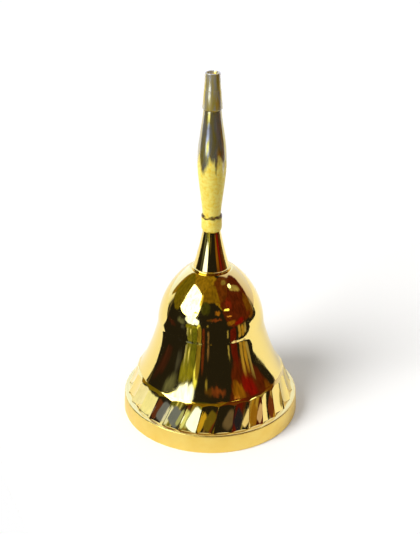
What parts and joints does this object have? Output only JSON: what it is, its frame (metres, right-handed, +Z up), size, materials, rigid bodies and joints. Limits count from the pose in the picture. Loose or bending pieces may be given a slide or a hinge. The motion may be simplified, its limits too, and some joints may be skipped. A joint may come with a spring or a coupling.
{
  "type": "hand bell",
  "caption": "Brass hand bell with a fluted band above a plain lip, a turned handle on a central tie rod, and a free-swinging ball clapper.",
  "frame": {"origin": "centre of the mouth, in the lip plane that the bell stands on", "axes": "+Z up along the bell's axis towards the finial; -Y is the side that the picture shows; the clapper's main swing is about X"},
  "size_m": [0.064, 0.064, 0.127],
  "materials": {
    "shell_brass": "polished above the lip, satin on the lip band",
    "handle_brass": "turned and polished",
    "rod_brass": "drawn rod, dull",
    "plated_steel": "plated",
    "wire_steel": "drawn wire",
    "ball_brass": "turned, dull"
  },
  "bodies": {
    "bell": {"bell_body": "shell_brass", "handle_foot": "handle_brass", "collar": "handle_brass", "grip": "handle_brass", "ferrule": "handle_brass", "finial_nut": "handle_brass", "tie_rod": "rod_brass", "crown_washer": "plated_steel", "crown_nut": "plated_steel"},
    "link": {"hanger_link": "wire_steel"},
    "clapper": {"clapper_stem": "wire_steel", "clapper_ball": "ball_brass"}
  },
  "joints": [
    {"name": "link_swing", "type": "hinge", "parent": "bell", "child": "link", "pos_m": [0, 0, 0.0478], "axis": [1, 0, 0], "range_deg": [-28, 28]},
    {"name": "clapper_tip", "type": "hinge", "parent": "link", "child": "clapper", "pos_m": [0, 0, 0.041], "axis": [0, 1, 0], "range_deg": [-6, 6]}
  ]
}
